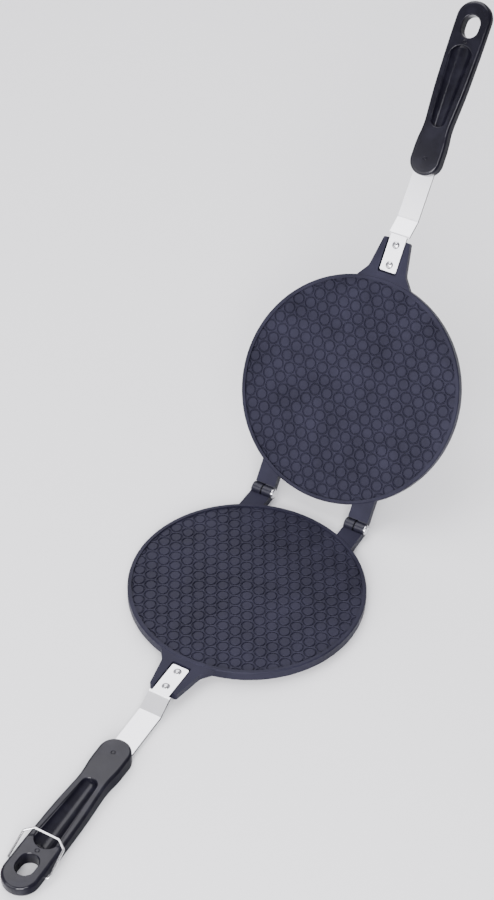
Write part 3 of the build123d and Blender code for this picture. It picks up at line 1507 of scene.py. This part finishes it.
@dataclass
class HingePin:
    """Pin of one hinge: domed head at +X, rounded tail at -X.

    The dome is the share of the head's height over which its edge is rounded.
    """

    side: int
    word: str
    lug_width: float = 17.8
    radius: float = 2.5
    head_radius: float = 4.25
    head_height: float = 2.2
    dome: float = 0.85
    tail: float = 1.0
    tail_edge: float = 0.7
    gap: float = 0.08
    overlap: float = 0.1

    def build(self, finishes: Finishes) -> bpy.types.Object:
        """Model the pin upright, lay it on the hinge axis and finish it.

        Args:
            finishes: materials.

        Returns:
            The finished pin.
        """
        low = -self.lug_width / 2 - self.tail
        seat = self.lug_width / 2 + self.gap
        top = seat + self.head_height
        shank = cylinder("shank", self.radius, low, seat + self.overlap, sides=40)
        with editing(shank):
            pick(shank, "EDGE", at_height(low * MM))
            bpy.ops.mesh.bevel(offset=self.tail_edge * MM, segments=4, profile=0.5)
        head = cylinder("head", self.head_radius, seat, top, sides=48)
        with editing(head):
            pick(head, "EDGE", at_height(top * MM))
            bpy.ops.mesh.bevel(
                offset=self.dome * self.head_height * MM, segments=7, profile=0.55
            )
        obj = join([head, shank], f"hinge_pin_{self.word}_steel")
        shade(obj)
        centre = Vector((self.side * HINGE.spacing / 2, HINGE.axis_y, HINGE.axis_z)) * MM
        place(obj, Matrix.Translation(centre) @ Matrix.Rotation(pi / 2, 4, "Y"))
        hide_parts(f"hinge_pin_{self.word}")
        return finishes.dress(obj, Finish.RIVET, "lower")


@dataclass
class Bail:
    """Wire loop bent on a bench: straight runs and round bends in one plane.

    Corners are in the loop's own plane, from the pivot's axis up, and lift is how many degrees
    the loop leans from flat.
    """

    radius: float = 0.9
    bend: float = 2.4
    lift: float = 25.1
    corners: tuple[Pair, ...] = ((13.1, 0.0), (17.3, 0.0), (16.7, 22.4), (10.3, 27.1))
    sides: int = 20
    steps: int = 8

    def route(self) -> list[Vector]:
        """Corners of the whole wire from the right end to the left, in metres.

        Returns:
            The corners.
        """
        mirrored = [(-x, y) for x, y in reversed(self.corners)]
        return [Vector((x, y, 0)) * MM for x, y in (*self.corners, *mirrored)]

    def start(self, at: Vector) -> bpy.types.Object:
        """Add the wire's round section at its right end, looking along X.

        Args:
            at: place of the end, in metres.

        Returns:
            The section.
        """
        deselect()
        bpy.ops.mesh.primitive_circle_add(
            vertices=self.sides, radius=self.radius * MM, fill_type="NGON", location=at,
            rotation=(0, pi / 2, 0),
        )
        obj = bpy.context.object
        obj.name = "bail_wire_loop"
        bake_place(obj)
        return obj

    def spin(self, here: Vector, heading: Vector, turn: float) -> Vector:
        """Spin the selected section round one bend.

        Args:
            here: place of the section, in metres.
            heading: direction of the run before the bend.
            turn: angle of the bend, positive to the left.

        Returns:
            Where the section is after the bend.
        """
        side = Vector((-heading.y, heading.x, 0)) * (1 if turn > 0 else -1)
        centre = here + side * self.bend * MM
        bpy.ops.mesh.spin(steps=self.steps, angle=-turn, center=tuple(centre), axis=(0, 0, 1))
        return centre + Matrix.Rotation(turn, 3, "Z") @ (here - centre)

    def build(self, finishes: Finishes) -> bpy.types.Object:
        """Extrude a round section along the runs and spin it round the bends.

        Args:
            finishes: materials.

        Returns:
            The finished wire.
        """
        route = self.route()
        obj = self.start(route[0])
        with editing(obj):
            bpy.ops.mesh.select_mode(type="FACE")
            bpy.ops.mesh.select_all(action="SELECT")
            here = route[0]
            for before, corner, after in zip(route, route[1:], route[2:]):
                heading = (corner - before).normalized()
                ahead = (after - corner).normalized()
                turn = atan2(heading.cross(ahead).z, heading.dot(ahead))
                goal = corner - heading * self.bend * MM * tan(abs(turn) / 2)
                extrude(goal - here)
                here = self.spin(goal, heading, turn)
            extrude(route[-1] - here)
            bpy.ops.mesh.select_all(action="SELECT")
            bpy.ops.mesh.remove_doubles(threshold=NEAR)
            point_outwards()
        shade(obj)
        y, depth = BAIL_PIVOT
        pivot = Matrix.Translation((0, -y * MM, (HINGE.axis_z - depth) * MM))
        place(obj, pivot @ Matrix.Rotation(radians(self.lift), 4, "X"))
        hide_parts("locking_bail")
        return finishes.dress(obj, Finish.WIRE, "bail")


# Stage
@dataclass(frozen=True)
class Lamp:
    """Square soft lamp that looks at the pan: its place and side in metres, and its watts."""

    name: str
    at: Triple
    side: float
    power: float
    colour: Triple = (0.97, 0.96, 1.0)
    aim: Triple = (0.0, 0.0, 0.05)

    def build(self) -> None:
        """Hang the lamp and turn it to the pan."""
        deselect()
        bpy.ops.object.light_add(type="AREA", location=self.at)
        lamp = bpy.context.object
        lamp.name = self.name
        lamp.data.size = self.side
        lamp.data.energy = self.power
        lamp.data.color = self.colour
        look = Vector(self.aim) - Vector(self.at)
        lamp.rotation_euler = look.to_track_quat("-Z", "Y").to_euler()


@dataclass
class Stage:
    """Pale floor on which the pan rests, soft light and the camera.

    Places are in metres. The contacts are y and z of the two lines on which the open pan rests.
    The room is dimmer toward the camera: its light is a pair of strengths, far from the camera's
    direction and near it, and its fade is the cosines between which it changes.
    """

    camera_at: Triple = (0.495131, -0.930696, 1.061332)
    camera_turn: Triple = (0.856928, -0.024903, 0.513883)
    sensor: float = 36.0
    lens: float = 74.9
    front_contact: Pair = (-0.326, -0.011)
    rear_contact: Pair = (0.1081, 0.0)
    floor_size: float = 60.0
    floor_colour: Triple = (0.86, 0.86, 0.86)
    floor_roughness: float = 0.8
    room_colour: Triple = (0.94, 0.93, 1.0)
    room_light: Pair = (0.75, 0.12)
    room_fade: Pair = (0.45, 0.95)
    lamps: tuple[Lamp, ...] = (
        Lamp("rear_soft", (-0.6, 1.0, 1.4), 1.5, 26),
        Lamp("top_soft", (-0.5, -0.15, 2.2), 1.2, 22),
        Lamp("front_fill", (-0.65, -1.5, 0.95), 1.2, 22),
        Lamp("right_key", (0.65, -1.9, 0.9), 1.1, 84),
        Lamp("edge_light", (1.1, -1.2, 1.5), 0.5, 14),
    )

    def camera(self) -> None:
        """Set the camera where the photograph was taken from."""
        deselect()
        bpy.ops.object.camera_add(location=self.camera_at, rotation=self.camera_turn)
        camera = bpy.context.object
        camera.data.sensor_fit = "VERTICAL"
        camera.data.sensor_height = self.sensor
        camera.data.lens = self.lens
        bpy.context.scene.camera = camera

    def floor(self) -> None:
        """Lay the floor through the two lines on which the open pan rests."""
        (y0, z0), (y1, z1) = self.front_contact, self.rear_contact
        tilt = atan2(z1 - z0, y1 - y0)
        deselect()
        bpy.ops.mesh.primitive_plane_add(
            size=self.floor_size, location=(0, y1, z1), rotation=(tilt, 0, 0)
        )
        floor = bpy.context.object
        floor.name = "floor"
        material, g, shader = start_material("pale_floor")
        g.fill(shader, Base__Color=opaque(self.floor_colour), Roughness=self.floor_roughness)
        floor.data.materials.append(material)
        floor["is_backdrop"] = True

    def room(self) -> None:
        """Light the room evenly, dimmer where the photographer stands."""
        world = bpy.data.worlds.new("studio")
        world.use_nodes = True
        g = Graph(world.node_tree)
        around = g.add("ShaderNodeTexCoord").outputs["Generated"]
        toward = g.add("ShaderNodeVectorMath", operation="DOT_PRODUCT", Vector=around)
        toward.inputs[1].default_value = Vector(self.camera_at).normalized()
        strength = g.stretch(toward.outputs["Value"], *self.room_fade, *self.room_light)
        background = world.node_tree.nodes["Background"]
        g.fill(background, Color=opaque(self.room_colour), Strength=strength)
        bpy.context.scene.world = world

    def build(self) -> None:
        """Set the camera, floor, room and lamps."""
        self.camera()
        self.floor()
        self.room()
        for lamp in self.lamps:
            lamp.build()


# The whole pan
@dataclass
class WafflePan:
    """The whole pan: both halves, the hinge pins and the bail."""

    lower: Half = Half("lower", turned=False)
    upper: Half = Half("upper", turned=True)

    def build(self, frame: dict[str, Any], finishes: Finishes) -> Iterator[bpy.types.Object]:
        """Build every sub-assembly in order.

        Args:
            finishes: materials.

        Returns:
            Each finished piece, as soon as it is made.
        """
        for half in (self.lower, self.upper):
            yield Casting(half).build(frame, finishes)
            yield Strap(half).build(frame, finishes)
            yield Rivets(half).build(finishes)
            yield Handle(half, with_bail=not half.turned).build(finishes)
        yield from Honeycomb().build((self.lower, self.upper), finishes)
        for side, word in ((-1, "left"), (1, "right")):
            yield HingePin(side, word).build(finishes)
        yield Bail().build(finishes)


def corners(bounds: Any) -> list[list[float]]:
    """A bounding box as plain lists of numbers."""
    return [[float(value) for value in corner] for corner in bounds]


def main() -> None:
    """Load the frame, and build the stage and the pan."""
    logging.basicConfig(level=logging.INFO, format="%(name)s %(message)s")
    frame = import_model()
    solid_box = corners(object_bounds())
    Stage().build()
    for piece in WafflePan().build(frame, Finishes()):
        finish = piece.data.materials[0].name
        log.info("%s: %d faces of %s", piece.name, len(piece.data.polygons), finish)
    deselect()
    {"cad": solid_box, "visual": corners(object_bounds())}


if __name__ == "__main__":
    main()
